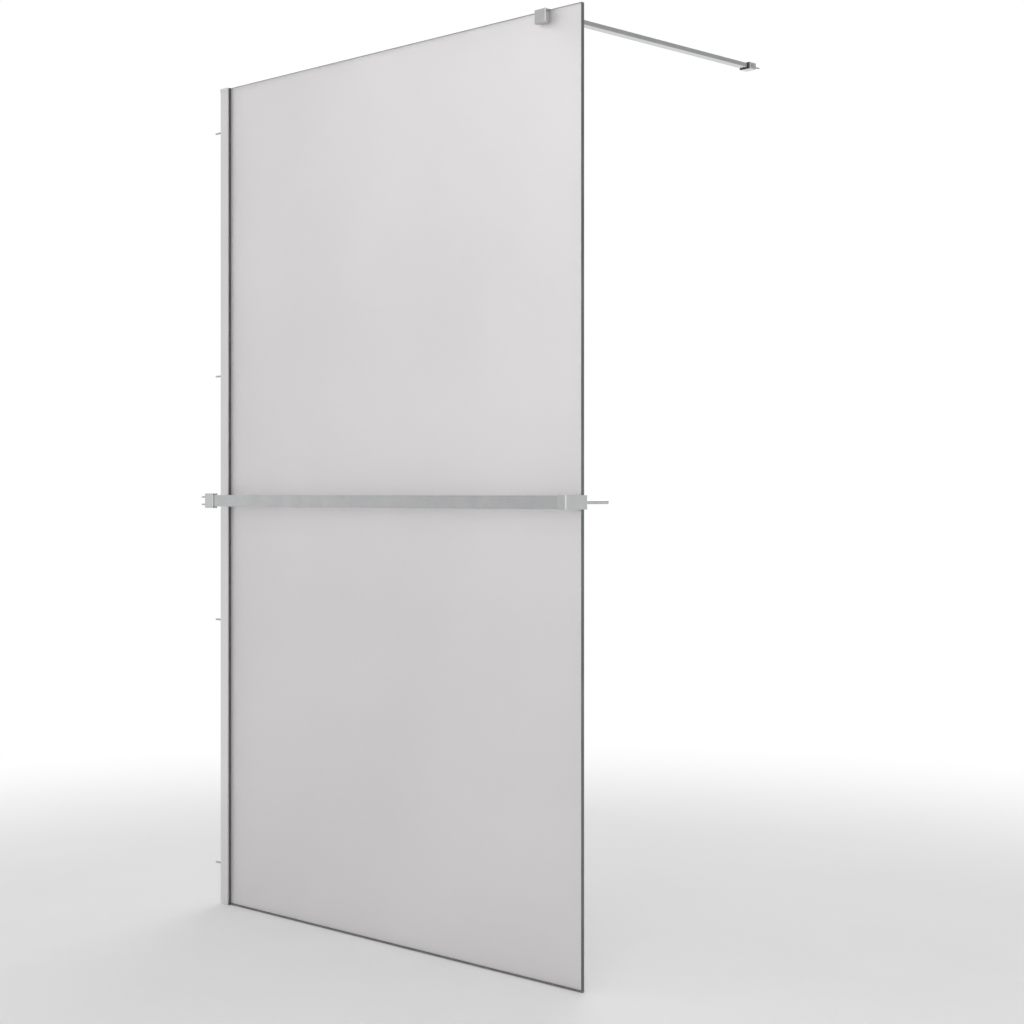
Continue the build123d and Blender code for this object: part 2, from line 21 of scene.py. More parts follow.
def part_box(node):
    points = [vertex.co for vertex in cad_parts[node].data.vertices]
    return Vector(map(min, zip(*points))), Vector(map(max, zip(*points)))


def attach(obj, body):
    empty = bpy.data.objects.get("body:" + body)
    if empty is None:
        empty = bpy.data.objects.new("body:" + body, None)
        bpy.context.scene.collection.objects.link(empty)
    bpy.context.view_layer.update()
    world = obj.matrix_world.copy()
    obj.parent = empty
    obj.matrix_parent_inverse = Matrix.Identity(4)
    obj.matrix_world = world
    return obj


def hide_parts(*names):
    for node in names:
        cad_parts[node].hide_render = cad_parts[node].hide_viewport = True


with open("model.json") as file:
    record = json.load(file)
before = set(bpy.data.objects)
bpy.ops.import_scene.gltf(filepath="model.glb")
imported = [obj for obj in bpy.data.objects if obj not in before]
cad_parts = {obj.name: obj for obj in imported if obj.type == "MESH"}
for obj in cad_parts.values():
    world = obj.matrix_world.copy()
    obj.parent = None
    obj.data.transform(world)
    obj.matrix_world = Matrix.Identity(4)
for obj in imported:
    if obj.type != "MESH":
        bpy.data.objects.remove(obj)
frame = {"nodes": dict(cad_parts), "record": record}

log = logging.getLogger("shower_screen")

MM = 0.001
WHITE = (1.0, 1.0, 1.0)
MIX_LOW, MIX_HIGH, MIX_RESULT = 6, 7, 2
"""Places of a Mix node's two colours among its inputs, and of its colour among its outputs."""
ROUND_PROFILE = 0.5
FACES_ALONG_AXIS = 0.999

Colour = tuple[float, float, float]
Spot = tuple[float, float, float]
Outline = list[tuple[float, float]]
Number = int | float
Inputs = dict[str | int, Any]
Shape = bmesh.types.BMesh
Vertex = bmesh.types.BMVert
Ring = list[Vertex]
Socket = bpy.types.NodeSocket


class Body(str, Enum):
    """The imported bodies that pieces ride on."""

    WALL_SIDE = "wall_side"
    SCREEN = "screen"
    BAR = "bar"
    BAR_WALL_END = "bar_wall_end"


class Slot(str, Enum):
    """The record's material slots, which each new piece holds but nothing applies."""

    PLASTIC = "grey_plastic"
    GASKET = "dark_gasket"
    SEAL = "grey_seal"
    GLASS = "satin_glass"
    PAD = "soft_pad"
    SCREW = "steel_screw"


class Axis(Enum):
    """A direction in the frame, with the two directions across it."""

    X = (Vector((1, 0, 0)), Vector((0, 1, 0)), Vector((0, 0, 1)))
    Z = (Vector((0, 0, 1)), Vector((1, 0, 0)), Vector((0, 1, 0)))


class Signal:
    """A shader value. Used in an expression, it adds Math nodes to its board."""

    def __init__(self, board: "Board", socket: Socket) -> None:
        """Wraps one output socket of a board."""
        self.board = board
        self.socket = socket

    def _math(self, operation: str, *values: "Signal | Number") -> "Signal":
        """Adds one Math node.

        Args:
            operation: Blender's name for the sum.
            values: its inputs, in order.

        Returns:
            The result as a new signal.
        """
        inputs = dict(enumerate(values))
        return self.board.value("ShaderNodeMath", {"operation": operation}, inputs)

    def __add__(self, other: "Signal | Number") -> "Signal":
        """self + other."""
        return self._math("ADD", self, other)

    def __radd__(self, other: Number) -> "Signal":
        """other + self."""
        return self._math("ADD", other, self)

    def __sub__(self, other: "Signal | Number") -> "Signal":
        """self - other."""
        return self._math("SUBTRACT", self, other)

    def __mul__(self, other: "Signal | Number") -> "Signal":
        """self * other."""
        return self._math("MULTIPLY", self, other)

    def __rmul__(self, other: Number) -> "Signal":
        """other * self."""
        return self._math("MULTIPLY", other, self)

    def __pow__(self, other: Number) -> "Signal":
        """self ** other."""
        return self._math("POWER", self, other)

    def above(self, other: "Signal | Number") -> "Signal":
        """The larger of the two."""
        return self._math("MAXIMUM", self, other)

    def rise(self, low: float, high: float) -> "Signal":
        """A smooth step.

        Args:
            low: where it leaves 0.
            high: where it reaches 1.

        Returns:
            A signal from 0 to 1.
        """
        settings = {"interpolation_type": "SMOOTHSTEP"}
        inputs = {"Value": self, "From Min": low, "From Max": high}
        return self.board.value("ShaderNodeMapRange", settings, inputs)


class Board:
    """One node tree, with one method that adds a node of any kind."""

    def __init__(self, tree: bpy.types.NodeTree) -> None:
        """Empties the tree and keeps it."""
        self.tree = tree
        tree.nodes.clear()

    def add(
        self, kind: str, settings: dict[str, Any] | None = None, inputs: Inputs | None = None
    ) -> bpy.types.Node:
        """Adds a node, sets what it is, then its sockets.

        Args:
            kind: Blender's name for the node type.
            settings: the node's own properties, set first.
            inputs: socket name or index to a value, a socket or a signal.

        Returns:
            The new node.
        """
        node = self.tree.nodes.new(kind)
        for name, setting in (settings or {}).items():
            setattr(node, name, setting)
        for name, value in (inputs or {}).items():
            socket = node.inputs[name]
            if isinstance(value, Signal):
                value = value.socket
            if isinstance(value, Socket):
                self.tree.links.new(value, socket)
            elif socket.type == "RGBA":
                socket.default_value = (*value, 1.0)
            else:
                socket.default_value = value
        return node

    def value(
        self,
        kind: str,
        settings: dict[str, Any] | None = None,
        inputs: Inputs | None = None,
        output: str | int = 0,
    ) -> Signal:
        """Adds a node and returns one of its outputs as a signal.

        Args:
            kind: Blender's name for the node type.
            settings: the node's own properties.
            inputs: socket name or index to a value, a socket or a signal.
            output: the output's name or index.

        Returns:
            The output, ready for an expression.
        """
        return Signal(self, self.add(kind, settings, inputs).outputs[output])

    def place(self) -> Socket:
        """Returns the piece's own coordinates, in metres."""
        return self.add("ShaderNodeTexCoord").outputs["Object"]

    def axis(self, name: str) -> Signal:
        """Returns one of the coordinates X, Y or Z."""
        return self.value("ShaderNodeSeparateXYZ", None, {0: self.place()}, name)

    def noise(
        self,
        scale: float,
        detail: float = 3.0,
        rough: float = 0.5,
        across: Sequence[float] = (1.0, 1.0, 1.0),
    ) -> Signal:
        """Adds a noise pattern.

        Args:
            scale: pattern steps per metre.
            detail: octaves of finer noise.
            rough: weight of the finer octaves.
            across: stretch along X, Y and Z. The pattern runs along the smallest.

        Returns:
            A signal around 0.5.
        """
        stretch = {0: self.place(), 1: tuple(across)}
        vector = self.add("ShaderNodeVectorMath", {"operation": "MULTIPLY"}, stretch).outputs[0]
        inputs = {"Vector": vector, "Scale": scale, "Detail": detail, "Roughness": rough}
        return self.value("ShaderNodeTexNoise", None, inputs)

    def cells(self, scale: float) -> Signal:
        """Adds cell noise, the distance from the nearest middle, with so many cells a metre."""
        inputs = {"Vector": self.place(), "Scale": scale, "Randomness": 1.0}
        return self.value("ShaderNodeTexVoronoi", None, inputs, "Distance")

    def blend(self, factor: Signal, low: Colour, high: Colour) -> Socket:
        """Mixes two colours.

        Args:
            factor: 0 gives the first colour and 1 the second.
            low: the first colour.
            high: the second colour.

        Returns:
            The mixed colour.
        """
        inputs = {0: factor, MIX_LOW: low, MIX_HIGH: high}
        return self.add("ShaderNodeMix", {"data_type": "RGBA"}, inputs).outputs[MIX_RESULT]

    def relief(self, height: Signal, depth: float, strength: float) -> Socket:
        """Turns a height pattern into a normal.

        Args:
            height: the pattern, from 0 to 1.
            depth: the real height of 1, in metres.
            strength: share of the effect.

        Returns:
            The normal.
        """
        inputs = {"Height": height, "Distance": depth, "Strength": strength}
        return self.add("ShaderNodeBump", None, inputs).outputs["Normal"]

    def shown_rays(self) -> Signal:
        """Marks the rays that show the background: to the camera, in metal and through glass.

        Returns:
            1 on those rays and 0 on the rays that only carry light.
        """
        rays = self.add("ShaderNodeLightPath")
        camera, glossy, through = (
            Signal(self, rays.outputs[name])
            for name in ("Is Camera Ray", "Is Glossy Ray", "Is Transmission Ray")
        )
        return camera.above(glossy).above(through)

    def glow(self, kind: str, strength: Signal | Number) -> Socket:
        """Adds an even white light, as an Emission or Background node."""
        return self.add(kind, None, {"Color": WHITE, "Strength": strength}).outputs[0]

    def choose(
        self, factor: Signal, low: Socket, high: Socket
    ) -> Socket:
        """Mixes two shaders, where 0 gives the first and 1 the second."""
        return self.add("ShaderNodeMixShader", None, {0: factor, 1: low, 2: high}).outputs[0]

    def shader(self, **sockets: Any) -> Socket:
        """Adds a Principled shader.

        Args:
            sockets: its sockets, with _ for a space in the name.

        Returns:
            The shader.
        """
        inputs = {name.replace("_", " "): value for name, value in sockets.items()}
        return self.add("ShaderNodeBsdfPrincipled", None, inputs).outputs[0]

    def end(
        self, surface: Socket, kind: str = "ShaderNodeOutputMaterial"
    ) -> None:
        """Ends the tree with an output of a kind."""
        self.add(kind, None, {"Surface": surface})


@dataclass(frozen=True)
class Coating:
    """What covers a surface, made once as a material and then shared."""

    name: str
    made: ClassVar[dict[str, bpy.types.Material]] = {}

    def material(self) -> bpy.types.Material:
        """Builds the coating's nodes on first use.

        Returns:
            Its material.
        """
        if self.name not in self.made:
            material = bpy.data.materials.new(self.name)
            material.use_nodes = True
            self.paint(Board(material.node_tree))
            self.made[self.name] = material
        return self.made[self.name]

    def paint(self, board: Board) -> None:
        """Builds the nodes.

        Args:
            board: the material's empty tree.
        """
        raise NotImplementedError


@dataclass(frozen=True)
class Grain:
    """One pattern of a finish, with its share of the tone, of the roughness and of the relief."""

    scale: float
    detail: float = 3.0
    rough: float = 0.5
    across: Spot = (1.0, 1.0, 1.0)
    cellular: bool = False
    tone: float = 0.0
    sheen: float = 0.0
    relief: float = 0.0
    only_duller: bool = False

    def signal(self, board: Board) -> Signal:
        """Adds the pattern to a board.

        Args:
            board: the material's tree.

        Returns:
            The pattern.
        """
        if self.cellular:
            return board.cells(self.scale)
        return board.noise(self.scale, self.detail, self.rough, self.across)

    def dulling(self, signal: Signal) -> Signal:
        """The pattern's change of the roughness, to both sides or only upwards."""
        change = signal - 0.5
        return self.sheen * (change.above(0.0) if self.only_duller else change)


@dataclass(frozen=True)
class Finish(Coating):
    """A finish whose colour, roughness and relief are sums over its grains."""

    low: Colour
    high: Colour
    roughness: float
    grains: tuple[Grain, ...]
    depth: float
    strength: float
    turn: tuple[float, float] = (0.3, 0.7)
    metallic: float = 0.0
    ior: float = 1.5
    clearness: float = 0.0
    coat: float = 0.0
    coat_roughness: float = 0.03

    def paint(self, board: Board) -> None:
        """Builds the grains, and a shader between the low and the high colour.

        Args:
            board: the material's empty tree.
        """
        patterns = [(grain, grain.signal(board)) for grain in self.grains]
        tone = sum(grain.tone * signal for grain, signal in patterns if grain.tone)
        relief = sum(grain.relief * signal for grain, signal in patterns if grain.relief)
        dulling = sum(grain.dulling(signal) for grain, signal in patterns if grain.sheen)
        surface = board.shader(
            Base_Color=board.blend(tone.rise(*self.turn), self.low, self.high),
            Metallic=self.metallic,
            Roughness=self.roughness + dulling,
            IOR=self.ior,
            Transmission_Weight=self.clearness,
            Coat_Weight=self.coat,
            Coat_Roughness=self.coat_roughness,
            Normal=board.relief(relief, self.depth, self.strength),
        )
        board.end(surface)


def chrome(name: str, low: Colour, high: Colour, brushing: Spot) -> Finish:
    """Soft bright plate over a fine brushing, with faint clouds and a little orange peel.

    Args:
        name: the finish's name.
        low: its darker tone.
        high: its lighter tone.
        brushing: stretch of the marks, least along the brushing.

    Returns:
        The finish.
    """
    marks = Grain(3400.0, 2.0, 0.65, brushing, tone=0.35, sheen=0.06, relief=0.35)
    cloud = Grain(26.0, rough=0.55, tone=0.65, sheen=0.05)
    peel = Grain(160.0, detail=1.0, relief=0.65)
    return Finish(
        name,
        low,
        high,
        roughness=0.2,
        grains=(marks, cloud, peel),
        depth=1.5e-6,
        strength=0.35,
        turn=(0.25, 0.75),
        metallic=1.0,
    )


def rubber(name: str, low: Colour, high: Colour, roughness: float, flow: Spot) -> Finish:
    """Rubber or vinyl with flow lines along its run, a fine pitted skin and a dusty bloom.

    Args:
        name: the finish's name.
        low: its own colour.
        high: its colour under the bloom.
        roughness: how matt it is.
        flow: stretch of the flow lines, least along the run.

    Returns:
        The finish.
    """
    patches = Grain(60.0, tone=1.0, sheen=0.16)
    lines = Grain(1500.0, detail=1.0, across=flow, relief=0.6)
    pits = Grain(3800.0, cellular=True, relief=0.4)
    return Finish(
        name,
        low,
        high,
        roughness,
        grains=(patches, lines, pits),
        depth=1.2e-5,
        strength=0.5,
        turn=(0.35, 0.75),
    )


def moulding(name: str, low: Colour, high: Colour) -> Finish:
    """Fine spark-eroded moulding, a shade lighter where it is rubbed.

    Args:
        name: the finish's name.
        low: its own colour.
        high: its rubbed colour.

    Returns:
        The finish.
    """
    texture = Grain(2600.0, detail=2.0, rough=0.6, sheen=0.12, relief=1.0)
    patches = Grain(90.0, detail=2.0, tone=1.0)
    return Finish(
        name,
        low,
        high,
        roughness=0.42,
        grains=(texture, patches),
        depth=1.0e-5,
        strength=0.6,
        turn=(0.4, 0.7),
    )


ANODISED_ALUMINIUM = Finish(
    "anodised_aluminium",
    low=(0.66, 0.66, 0.665),
    high=(0.72, 0.72, 0.724),
    roughness=0.34,
    grains=(
        Grain(2600.0, 2.0, 0.6, (1.0, 1.0, 0.004), tone=0.55, sheen=0.1, relief=0.7),
        Grain(7.0, tone=0.45, sheen=0.05),
        Grain(5200.0, detail=1.0, relief=0.3),
    ),
    depth=4e-6,
    strength=0.6,
    metallic=1.0,
)
"""Satin anodised extrusion: drawing lines along its length, faint clouds and a fine matt grain."""

RAIL_CHROME = chrome("satin_chrome", (0.5, 0.505, 0.51), (0.55, 0.555, 0.56), (0.01, 1.0, 1.0))
BAR_CHROME = chrome("satin_chrome_bar", (0.5, 0.505, 0.51), (0.55, 0.555, 0.56), (1.0, 0.01, 1.0))
FITTING_CHROME = chrome(
    "satin_chrome_fittings", (0.555, 0.56, 0.565), (0.605, 0.61, 0.615), (0.6, 0.6, 0.6)
)

ETCHED_GLASS = Finish(
    "etched_glass",
    low=(0.71, 0.695, 0.70),
    high=(0.745, 0.73, 0.735),
    roughness=0.62,
    grains=(
        Grain(2.2, detail=4.0, tone=0.75, sheen=0.06),
        Grain(900.0, detail=2.0, rough=0.7, tone=0.25, sheen=0.05, relief=0.4),
        Grain(2400.0, cellular=True, relief=0.6),
    ),
    depth=8e-6,
    strength=0.35,
    clearness=0.55,
)
"""Acid-etched face of the pane: fine even frost, with clouds where the etch bit deeper."""

POLISHED_EDGE = Finish(
    "polished_glass_edge",
    low=(0.07, 0.086, 0.08),
    high=(0.105, 0.125, 0.118),
    roughness=0.12,
    grains=(
        Grain(9.0, detail=2.0, tone=1.0),
        Grain(1900.0, 2.0, 0.5, (0.02, 1.0, 0.02), sheen=0.12, relief=1.0, only_duller=True),
    ),
    depth=2e-6,
    strength=0.4,
    ior=1.52,
    coat=0.4,
    coat_roughness=0.05,
)
"""Ground and polished rim, dark and faintly green as thick glass is on edge."""

GASKET_RUBBER = rubber(
    "gasket_rubber", (0.035, 0.035, 0.036), (0.065, 0.065, 0.066), 0.62, (1.0, 1.0, 0.01)
)
SEAL_VINYL = rubber(
    "seal_vinyl", (0.12, 0.12, 0.121), (0.17, 0.17, 0.171), 0.5, (0.01, 1.0, 1.0)
)
PAD_RUBBER = rubber("pad_rubber", (0.2, 0.2, 0.2), (0.27, 0.27, 0.27), 0.7, (0.05, 1.0, 0.05))
GREY_PLASTIC = moulding("moulded_plastic", (0.46, 0.46, 0.465), (0.52, 0.52, 0.525))
# Near-black finish of the socket's mouth collar: painted shade of the gap around the bar.
PAINTED_SHADE_TRIM = moulding("painted_shade_trim", (0.055, 0.055, 0.056), (0.075, 0.075, 0.076))

ZINC_PLATE = Finish(
    "zinc_plate",
    low=(0.44, 0.45, 0.475),
    high=(0.56, 0.57, 0.59),
    roughness=0.38,
    grains=(
        Grain(520.0, cellular=True, tone=0.6, relief=1.0),
        Grain(120.0, detail=2.0, tone=0.4, sheen=0.16),
    ),
    depth=1.0e-5,
    strength=0.3,
    turn=(0.15, 0.6),
    metallic=1.0,
)
"""Pressed steel with a clear zinc plate, whose crystals differ a little in tone and shine."""

SCREW_STEEL = Finish(
    "screw_steel",
    low=(0.38, 0.38, 0.395),
    high=(0.55, 0.55, 0.565),
    roughness=0.3,
    grains=(
        Grain(4200.0, 1.0, 0.5, (1.0, 0.15, 0.15), sheen=0.1, relief=1.0),
        Grain(300.0, tone=1.0, sheen=0.2),
    ),
    depth=3e-6,
    strength=0.6,
    turn=(0.35, 0.65),
    metallic=1.0,
)
"""Bright drawn steel with turning marks around the shank and patches of duller grey."""


@dataclass(frozen=True)
class StudioFloor(Coating):
    """Pale matt floor that runs into the white background away from the object."""

    name: str = "studio_floor"
    colour: Colour = (0.86, 0.86, 0.86)
    fleck: Colour = (0.84, 0.84, 0.84)
    roughness: float = 0.7
    shine: float = 0.2
    centre: tuple[float, float] = (0.6, 0.3)
    near: float = 1.1
    far: float = 3.3

    def paint(self, board: Board) -> None:
        """A matt floor near the object and plain white beyond it.

        Args:
            board: the material's empty tree.
        """
        cloud = board.noise(1.4, detail=4.0, rough=0.6)
        away_x = board.axis("X") - self.centre[0]
        away_y = board.axis("Y") - self.centre[1]
        distance = (away_x * away_x + away_y * away_y) ** 0.5
        matt = board.shader(
            Base_Color=board.blend(cloud.rise(low=0.3, high=0.7), self.fleck, self.colour),
            Roughness=self.roughness,
            Specular_IOR_Level=self.shine,
        )
        white = board.glow("ShaderNodeEmission", 1.0)
        beyond = distance.rise(self.near, self.far) * board.shown_rays()
        board.end(board.choose(beyond, matt, white))


@dataclass(frozen=True)
class CardGrey(Coating):
    """Glowing grey of a studio card, which may pass to another grey along an axis."""

    name: str = "card_grey"
    first: float = 0.8
    second: float = 0.8
    along: str = "Z"
    turn_from: float = 1.0
    turn_to: float = 2.0

    def paint(self, board: Board) -> None:
        """One grey that passes to the other along the card.

        Args:
            board: the material's empty tree.
        """
        share = board.axis(self.along).rise(self.turn_from, self.turn_to)
        grey = self.first + (self.second - self.first) * share
        board.end(board.glow("ShaderNodeEmission", grey))


def dress(finish: Finish, *nodes: str) -> None:
    """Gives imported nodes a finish.

    Args:
        finish: the finish.
        nodes: the nodes' names.
    """
    for name in nodes:
        for place in frame["nodes"][name].material_slots:
            place.material = finish.material()
        log.info("%s: %s", name, finish.name)


def held_mesh(shape: Shape, name: str) -> bpy.types.Mesh:
    """Turns a shape under construction into a mesh.

    Args:
        shape: the shape, which is freed.
        name: the mesh's name.

    Returns:
        The mesh.
    """
    mesh = bpy.data.meshes.new(name)
    shape.to_mesh(mesh)
    shape.free()
    return mesh


def placed(name: str, data: Any) -> bpy.types.Object:
    """Puts a new object into the scene.

    Args:
        name: the object's name.
        data: its mesh, lamp or camera.

    Returns:
        The object.
    """
    made = bpy.data.objects.new(name, data)
    bpy.context.scene.collection.objects.link(made)
    return made


@dataclass
class Piece:
    """Turns a mesh under construction into a finished piece of the model."""

    name: str
    body: Body
    slot: Slot
    finishes: Sequence[Finish]
    stands_for: str = ""
    crease: float = math.radians(32)

    def finish(self, shape: Shape) -> bpy.types.Object:
        """Makes the object from a shape under construction.

        Args:
            shape: the shape in the frame's own place, which is freed.

        Returns:
            The new object.
        """
        bmesh.ops.recalc_face_normals(shape, faces=shape.faces)
        return self.finish_mesh(held_mesh(shape, self.name))

    def finish_mesh(self, mesh: bpy.types.Mesh) -> bpy.types.Object:
        """Makes the object from a ready mesh, dresses it and fixes it to its body.

        Args:
            mesh: the mesh in the frame's own place.

        Returns:
            The new object.
        """
        mesh.name = self.name
        for finish in self.finishes:
            mesh.materials.append(finish.material())
        mesh.shade_smooth()
        mesh.set_sharp_from_angle(angle=self.crease)
        piece = placed(self.name, mesh)
        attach(piece, self.body.value)
        if self.stands_for:
            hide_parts(self.stands_for)
        log.info("%s: %d faces", self.name, len(mesh.polygons))
        return piece


def arc(
    centre: tuple[float, float], radius: float, start: float, end: float, steps: int
) -> Outline:
    """Lists points along a round stretch of an outline.

    Args:
        centre: the middle of the arc.
        radius: its radius.
        start: where it starts, in degrees.
        end: where it ends, in degrees.
        steps: how many straight steps make it.

    Returns:
        The points, both ends included.
    """
    angles = [math.radians(start + (end - start) * i / steps) for i in range(steps + 1)]
    return [(centre[0] + radius * math.cos(a), centre[1] + radius * math.sin(a)) for a in angles]


def join_rings(shape: Shape, rings: Sequence[Ring]) -> None:
    """Joins each ring of vertices to the next with a band of faces.

    Args:
        shape: the shape that the rings belong to.
        rings: closed rings with the same number of vertices.
    """
    for here, there in zip(rings, rings[1:]):
        for i in range(len(here)):
            j = (i + 1) % len(here)
            shape.faces.new((here[i], here[j], there[j], there[i]))


def run_of(outline: Outline, axis: Axis, start: float, end: float) -> Shape:
    """Extrudes a closed outline along an axis.

    Args:
        outline: points across the axis, in its own two directions.
        axis: the direction of the run.
        start: where the run starts.
        end: where it ends.

    Returns:
        The closed solid.
    """
    along, first, second = axis.value
    shape = bmesh.new()
    rings = [
        [shape.verts.new(along * level + first * u + second * v) for u, v in outline]
        for level in (start, end)
    ]
    join_rings(shape, rings)
    for ring in rings:
        shape.faces.new(ring)
    return shape


def rounded_block(low: Vector, high: Vector, soft: float, segments: int) -> Shape:
    """Makes a block with rounded edges.

    Args:
        low: its lowest corner.
        high: its highest corner.
        soft: the radius of its edges.
        segments: how many faces round each edge.

    Returns:
        The closed solid.
    """
    outline = [(low.x, low.y), (high.x, low.y), (high.x, high.y), (low.x, high.y)]
    shape = run_of(outline, Axis.Z, low.z, high.z)
    bmesh.ops.bevel(
        shape,
        geom=shape.edges[:],
        offset=soft,
        offset_type="OFFSET",
        segments=segments,
        profile=ROUND_PROFILE,
        affect="EDGES",
    )
    return shape


def cut(shape: Shape, cutters: Iterable[Shape]) -> bpy.types.Mesh:
    """Cuts solids out of another.

    Args:
        shape: the solid that is cut.
        cutters: the solids that are taken away.

    Returns:
        The mesh that is left.
    """
    body = placed("cut_body", held_mesh(shape, "cut_body"))
    tools = [placed("cut_tool", held_mesh(cutter, "cut_tool")) for cutter in cutters]
    for tool in tools:
        modifier = body.modifiers.new("cut", "BOOLEAN")
        modifier.operation = "DIFFERENCE"
        modifier.solver = "EXACT"
        modifier.object = tool
    graph = bpy.context.evaluated_depsgraph_get()
    graph.update()
    mesh = bpy.data.meshes.new_from_object(body.evaluated_get(graph))
    for used in (body, *tools):
        spent = used.data
        bpy.data.objects.remove(used)
        bpy.data.meshes.remove(spent)
    return mesh


@dataclass
class ThreadedScrew:
    """A wood screw along +Z: its head, a plain neck, a helical thread and a point.

    Levels are measured from its seat, and the head is an outline of radius and level.
    """

    head: Outline
    head_end: float
    neck: float
    crest_radius: float
    length: float
    pitch: float
    point: float = 5.0 * MM
    neck_step: float = 0.25 * MM
    root_share: float = 0.7
    tip_radius: float = 0.35 * MM
    tip_root_share: float = 0.8
    neck_end: float = 0.2 * MM
    ridge_slope: float = 4.0
    sides: int = 28
    rows: int = 8
    weld: float = 1e-7

    def envelope(self, level: float) -> float:
        """Gives the thread's outer radius, drawn in over the point.

        Args:
            level: the place along the screw.

        Returns:
            The radius there.
        """
        left = max(0.0, self.length - level)
        share = min(1.0, left / self.point)
        return self.tip_radius + (self.crest_radius - self.tip_radius) * share

    def radius(self, row: int, level: float) -> float:
        """Gives the radius of a row of the helix.

        Args:
            row: the row, of which each pitch has the same number.
            level: the place along the screw.

        Returns:
            The root radius, or more towards the crest.
        """
        phase = (row % self.rows) / self.rows
        ridge = max(0.0, 1.0 - self.ridge_slope * abs(phase - 0.5))
        lead_in = min(1.0, (level - self.neck) / self.pitch)
        outer = self.envelope(level)
        root = max(self.tip_radius * self.tip_root_share, outer * self.root_share)
        return root + (outer - root) * ridge * lead_in

    def add_point(
        self, shape: Shape, radius: float, side: int, level: float
    ) -> Vertex:
        """Adds the vertex at a radius, side and level."""
        turn = math.tau * side / self.sides
        return shape.verts.new((radius * math.cos(turn), radius * math.sin(turn), level))

    def add_lathe(self, shape: Shape) -> None:
        """Adds the head and neck, down to the ring where the thread starts.

        Args:
            shape: the shape to add to.
        """
        neck_radius = self.crest_radius - self.neck_step
        neck = (
            (neck_radius, self.head_end),
            (neck_radius, self.neck - self.neck_end),
            (self.radius(0, self.neck), self.neck),
        )
        rings = [
            [self.add_point(shape, radius, side, level) for side in range(self.sides)]
            for radius, level in (*self.head, *neck)
        ]
        shape.faces.new(rings[0])
        join_rings(shape, rings)

    def thread_row(self, shape: Shape, row: int) -> Ring:
        """Adds one turn of the helix, held flat at both ends of the thread.

        Args:
            shape: the shape to add to.
            row: the row, of which each pitch has the same number.

        Returns:
            The row's vertices.
        """
        points = []
        for side in range(self.sides):
            level = self.neck + (row / self.rows + side / self.sides) * self.pitch
            level = min(max(level, self.neck), self.length)
            at_end = level in (self.neck, self.length)
            radius = self.radius(0 if at_end else row, level)
            points.append(self.add_point(shape, radius, side, level))
        return points

    def add_thread(self, shape: Shape) -> None:
        """Adds the helix, whose rows climb one pitch a turn.

        Args:
            shape: the shape to add to.
        """
        count = math.ceil((self.length - self.neck) / self.pitch * self.rows)
        grid = [self.thread_row(shape, row) for row in range(-self.rows, count + 1)]
        for low, high in zip(grid, grid[1:]):
            for side in range(self.sides - 1):
                shape.faces.new((low[side], low[side + 1], high[side + 1], high[side]))
        last = self.sides - 1
        for row in range(len(grid) - 1 - self.rows):
            after, after_next = grid[row + self.rows], grid[row + self.rows + 1]
            shape.faces.new((grid[row][last], after[0], after_next[0], grid[row + 1][last]))
        shape.faces.new(grid[-1])

    def make(self) -> Shape:
        """Builds the screw.

        Returns:
            The closed solid, with its seat at the origin.
        """
        shape = bmesh.new()
        self.add_lathe(shape)
        self.add_thread(shape)
        bmesh.ops.remove_doubles(shape, verts=shape.verts, dist=self.weld)
        bmesh.ops.dissolve_degenerate(shape, edges=shape.edges, dist=self.weld)
        bmesh.ops.recalc_face_normals(shape, faces=shape.faces)
        return shape


@dataclass
class CrossDrive:
    """Cross recess cut into a screw's head from above."""

    top: float
    depth: float
    reach: float
    width: float
    taper: float = 0.55
    over: float = 1.0 * MM

    def blade(self, turn: float) -> Shape:
        """Makes one tapered blade of the cross.

        Args:
            turn: its turn about Z.

        Returns:
            The blade as a solid.
        """
        shape = bmesh.new()
        spin = Matrix.Rotation(turn, 3, "Z")
        side = self.width / 2
        widening = 1.0 + self.over / self.depth * (1 - self.taper)
        ends = ((self.top - self.over, widening), (self.top + self.depth, self.taper))
        rings = []
        for level, share in ends:
            half = self.reach * share
            corners = ((-half, -side), (half, -side), (half, side), (-half, side))
            rings.append([shape.verts.new(spin @ Vector((u, v, level))) for u, v in corners])
        for ring in rings:
            shape.faces.new(ring)
        join_rings(shape, rings)
        bmesh.ops.recalc_face_normals(shape, faces=shape.faces)
        return shape

    def cutters(self) -> list[Shape]:
        """Returns the two blades as separate solids."""
        return [self.blade(turn) for turn in (0.0, math.pi / 2)]


def screw_seats(mount: str, direction: Vector, depth: float) -> list[Vector]:
    """Finds the heads' places for one of the record's screw patterns.

    Args:
        mount: the pattern's name in the record.
        direction: where its screws point.
        depth: how far the heads sit in front of the wall.

    Returns:
        The two places.
    """
    found = next(m for m in frame["record"]["mounts"] if m["name"] == mount)
    centre = Vector(found["pos_m"]) - direction * depth
    upright = "spacing_y_mm" in found["dims"]
    spacing = found["dims"]["spacing_y_mm" if upright else "spacing_x_mm"] * MM
    across = Vector((0, 0, 1)) if upright else Vector((1, 0, 0))
    return [centre - across * spacing / 2, centre + across * spacing / 2]


